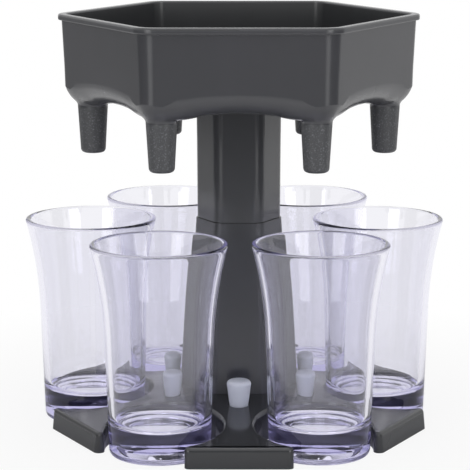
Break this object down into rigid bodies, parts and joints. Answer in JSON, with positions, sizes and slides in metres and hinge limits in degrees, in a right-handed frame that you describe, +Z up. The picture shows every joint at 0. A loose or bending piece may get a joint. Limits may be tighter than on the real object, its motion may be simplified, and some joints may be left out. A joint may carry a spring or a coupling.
{
  "type": "party shot dispenser",
  "caption": "Hexagonal tray with a pouring spout at each corner, on a column and six-armed base that holds a shot glass under each spout; soft stoppers close unused spouts.",
  "frame": {"origin": "centre of the base's underside, on the axis of the column, at table height", "axes": "+Z up along the column, -Y towards the front flat of the tray, +X to the right; spouts and glasses at 0, 60, 120 ... degrees from +X"},
  "size_m": [0.1423, 0.1335, 0.1388],
  "materials": {
    "tray_plastic": "dark grey moulded ABS with a polished face",
    "column_plastic": "dark grey moulded ABS with a polished face",
    "base_plastic": "dark grey moulded ABS with a polished face",
    "clear_styrene": "clear moulded polystyrene with a faint lilac tint",
    "white_silicone": "translucent white silicone rubber"
  },
  "bodies": {
    "base": {"base_holder": "base_plastic", "lower_column": "column_plastic"},
    "column": {"upper_column": "column_plastic"},
    "tray": {"tray": "tray_plastic"},
    "glass_right": {"shot_glass_right": "clear_styrene"},
    "glass_back_right": {"shot_glass_back_right": "clear_styrene"},
    "glass_back_left": {"shot_glass_back_left": "clear_styrene"},
    "glass_left": {"shot_glass_left": "clear_styrene"},
    "glass_front_left": {"shot_glass_front_left": "clear_styrene"},
    "glass_front_right": {"shot_glass_front_right": "clear_styrene"},
    "stopper_right_back": {"stopper_right_back": "white_silicone"},
    "stopper_back": {"stopper_back": "white_silicone"},
    "stopper_left_back": {"stopper_left_back": "white_silicone"},
    "stopper_left_front": {"stopper_left_front": "white_silicone"},
    "stopper_front": {"stopper_front": "white_silicone"},
    "stopper_right_front": {"stopper_right_front": "white_silicone"}
  },
  "joints": [
    {"name": "column_lift", "type": "slide", "parent": "base", "child": "column", "axis": [0, 0, 1], "range_m": [0, 0.03]},
    {"name": "tray_lift", "type": "slide", "parent": "column", "child": "tray", "axis": [0, 0, 1], "range_m": [0, 0.03]},
    {"name": "glass_right_lift", "type": "slide", "parent": "base", "child": "glass_right", "axis": [0, 0, 1], "range_m": [0, 0.02]},
    {"name": "glass_back_right_lift", "type": "slide", "parent": "base", "child": "glass_back_right", "axis": [0, 0, 1], "range_m": [0, 0.02]},
    {"name": "glass_back_left_lift", "type": "slide", "parent": "base", "child": "glass_back_left", "axis": [0, 0, 1], "range_m": [0, 0.02]},
    {"name": "glass_left_lift", "type": "slide", "parent": "base", "child": "glass_left", "axis": [0, 0, 1], "range_m": [0, 0.02]},
    {"name": "glass_front_left_lift", "type": "slide", "parent": "base", "child": "glass_front_left", "axis": [0, 0, 1], "range_m": [0, 0.02]},
    {"name": "glass_front_right_lift", "type": "slide", "parent": "base", "child": "glass_front_right", "axis": [0, 0, 1], "range_m": [0, 0.02]},
    {"name": "stopper_right_back_pull", "type": "slide", "parent": "base", "child": "stopper_right_back", "axis": [0, 0, 1], "range_m": [0, 0.015]},
    {"name": "stopper_back_pull", "type": "slide", "parent": "base", "child": "stopper_back", "axis": [0, 0, 1], "range_m": [0, 0.015]},
    {"name": "stopper_left_back_pull", "type": "slide", "parent": "base", "child": "stopper_left_back", "axis": [0, 0, 1], "range_m": [0, 0.015]},
    {"name": "stopper_left_front_pull", "type": "slide", "parent": "base", "child": "stopper_left_front", "axis": [0, 0, 1], "range_m": [0, 0.015]},
    {"name": "stopper_front_pull", "type": "slide", "parent": "base", "child": "stopper_front", "axis": [0, 0, 1], "range_m": [0, 0.015]},
    {"name": "stopper_right_front_pull", "type": "slide", "parent": "base", "child": "stopper_right_front", "axis": [0, 0, 1], "range_m": [0, 0.015]}
  ]
}
